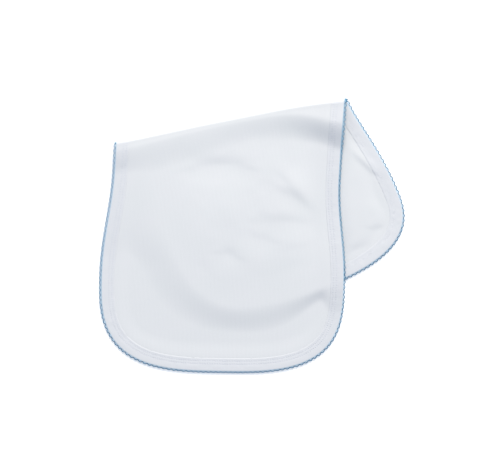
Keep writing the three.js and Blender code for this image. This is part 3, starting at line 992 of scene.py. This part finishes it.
def soft_cotton(name, color, roughness, pale, deep, tone_size):
    """Combed cotton knit with a low nap at grazing angles, and its slow change of tone as an output."""
    material, shader = new_material(name, color, roughness)
    shader.inputs["Sheen Weight"].default_value = 0.12
    shader.inputs["Sheen Roughness"].default_value = 0.6
    grain = knit(material, shader)
    cloud = noise(material, grain, scale=1.0 / (tone_size * MM), detail=2.0)["Fac"]
    return material, shader, mixed_color(material, cloud, linear(pale), linear(deep))


def interlock_knit():
    # Soft interlock: chalky, with no shine, and a faintly bluish white
    material, shader, tone = soft_cotton(
        "cotton_interlock", "#DEE1E4", roughness=0.95, pale="#DCDEE2", deep="#D9DDE0", tone_size=45.0
    )
    material.node_tree.links.new(tone, shader.inputs["Base Color"])
    return material


def binding_knit():
    # The same cotton cut along its length and pressed: its ribs run across the strip, its stitch holes
    # look grey from painted shade, and its tone changes over shorter lengths
    material, shader, tone = soft_cotton(
        "cotton_binding", "#DEE1E5", roughness=0.92, pale="#DADCE1", deep="#D6DADF", tone_size=12.0
    )
    # Painted shade: the binding's colour is mixed towards a darker grey at the needle holes, where shade
    # falls
    hole_shade = add_node(material, "ShaderNodeAttribute", {"attribute_name": "needle_hole_shade"})
    darker = mixed_color(material, hole_shade.outputs["Fac"], tone, linear("#C0C5D1"))
    material.node_tree.links.new(darker, shader.inputs["Base Color"])
    return material


def thread(name, color, deep, roughness, sheen):
    # Spun thread: a little shine along its twist, and darker where its fibres part
    material, shader = new_material(name, color, roughness)
    shader.inputs["Sheen Weight"].default_value = sheen
    place = add_node(material, "ShaderNodeTexCoord").outputs["Object"]
    twist = noise(material, place, scale=900.0, detail=1.0)["Fac"]
    tone = mixed_color(material, twist, linear(color), linear(deep))
    material.node_tree.links.new(tone, shader.inputs["Base Color"])
    return material


# Build the cloth

panel = add_panel(interlock_knit())
binding = add_binding(binding_knit())
stitching = add_coverstitch(thread("sewing_thread", "#F2F3F7", "#E4E7EE", 0.6, 0.2))
purl = add_picot_purl(thread("dark_blue_thread", "#0E74A0", "#0A5C82", 0.6, 0.05))
wraps = add_picot_wraps(thread("light_blue_thread", "#B8E2FA", "#A6D6F3", 0.55, 0.15))

for piece in (panel, binding, stitching, purl, wraps):
    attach(piece, "root")
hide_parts("panel")
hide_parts("binding")
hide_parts("picot_trim")
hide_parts("picot_trim")


# Floor, light and camera

def add_floor():
    bpy.ops.mesh.primitive_plane_add(size=FLOOR_SIZE, location=(0.0, 0.0, -FLOOR_BELOW))
    floor = bpy.context.object
    floor.name = "floor"
    # A white light table: it glows a little, so that the cloth hardly throws a shadow on it
    material, shader = new_material("light_table", "#FCFCFC", 0.9)
    shader.inputs["Emission Color"].default_value = linear("#FFFFFF")
    shader.inputs["Emission Strength"].default_value = FLOOR_GLOW
    floor.data.materials.append(material)


def add_light():
    """A tall pale window far beyond the fold, a little to the right, in an evenly lit room."""
    window = bpy.data.lights.new("window", "AREA")
    window.size = WINDOW_SIZE
    window.energy = WINDOW_ENERGY
    window.color = WINDOW_COLOR
    lamp = bpy.data.objects.new("window", window)
    away = WINDOW_DISTANCE * math.cos(WINDOW_HEIGHT)
    height = WINDOW_DISTANCE * math.sin(WINDOW_HEIGHT)
    lamp.location = (away * math.sin(WINDOW_TURN), away * math.cos(WINDOW_TURN), height)
    lamp.rotation_euler = (WINDOW_HEIGHT - math.pi / 2, 0.0, -WINDOW_TURN)
    bpy.context.scene.collection.objects.link(lamp)
    world = bpy.data.worlds.new("pale room")
    world.use_nodes = True
    world.node_tree.nodes["Background"].inputs["Color"].default_value = linear("#EAF2FF")
    world.node_tree.nodes["Background"].inputs["Strength"].default_value = ROOM_STRENGTH
    bpy.context.scene.world = world


def add_camera():
    """Straight above the middle of the picture."""
    camera = bpy.data.cameras.new("camera")
    camera.lens = LENS
    camera.sensor_width = SENSOR_WIDTH
    camera.sensor_fit = "HORIZONTAL"
    above = (PICTURE_MIDDLE + TO_FRAME[:2]) * MM
    eye = bpy.data.objects.new("camera", camera)
    eye.location = (above[0], above[1], PICTURE_WIDTH * MM * LENS / SENSOR_WIDTH)
    bpy.context.scene.collection.objects.link(eye)
    bpy.context.scene.camera = eye


add_floor()
add_light()
add_camera()
bpy.context.scene.view_settings.view_transform = "Standard"
